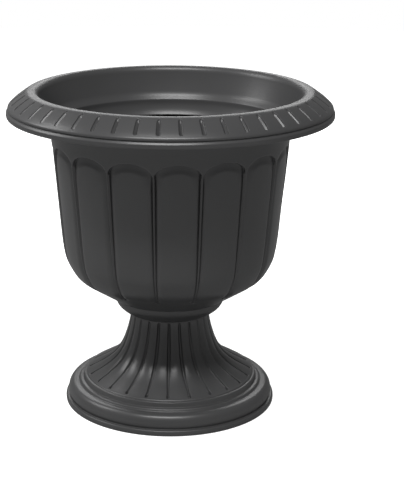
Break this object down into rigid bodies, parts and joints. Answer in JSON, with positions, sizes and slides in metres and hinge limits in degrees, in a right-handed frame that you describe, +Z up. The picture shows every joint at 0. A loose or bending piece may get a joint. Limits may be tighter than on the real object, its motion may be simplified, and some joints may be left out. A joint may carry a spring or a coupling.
{
  "type": "urn planter",
  "caption": "Classical urn planter: a lobed round bowl with a wide rolled rim, locked by a short turn on a fluted, flared pedestal with a moulded foot.",
  "frame": {"origin": "centre of the foot on the ground", "axes": "+Z up along the urn's axis, -Y towards the front"},
  "size_m": [0.3557, 0.3557, 0.3556],
  "materials": {
    "charcoal_resin": "semi-matte moulded charcoal resin",
    "plug_plastic": "matte black plastic"
  },
  "bodies": {
    "pedestal": {"pedestal": "charcoal_resin"},
    "bowl": {"bowl": "charcoal_resin"},
    "drain_plug": {"drain_plug": "plug_plastic"}
  },
  "joints": [
    {"name": "bowl_lock", "type": "hinge", "parent": "pedestal", "child": "bowl", "pos_m": [0, 0, 0.1036], "axis": [0, 0, 1], "range_deg": [0, 36]},
    {"name": "plug_pull", "type": "slide", "parent": "bowl", "child": "drain_plug", "axis": [0, 0, 1], "range_m": [0, 0.02]}
  ]
}
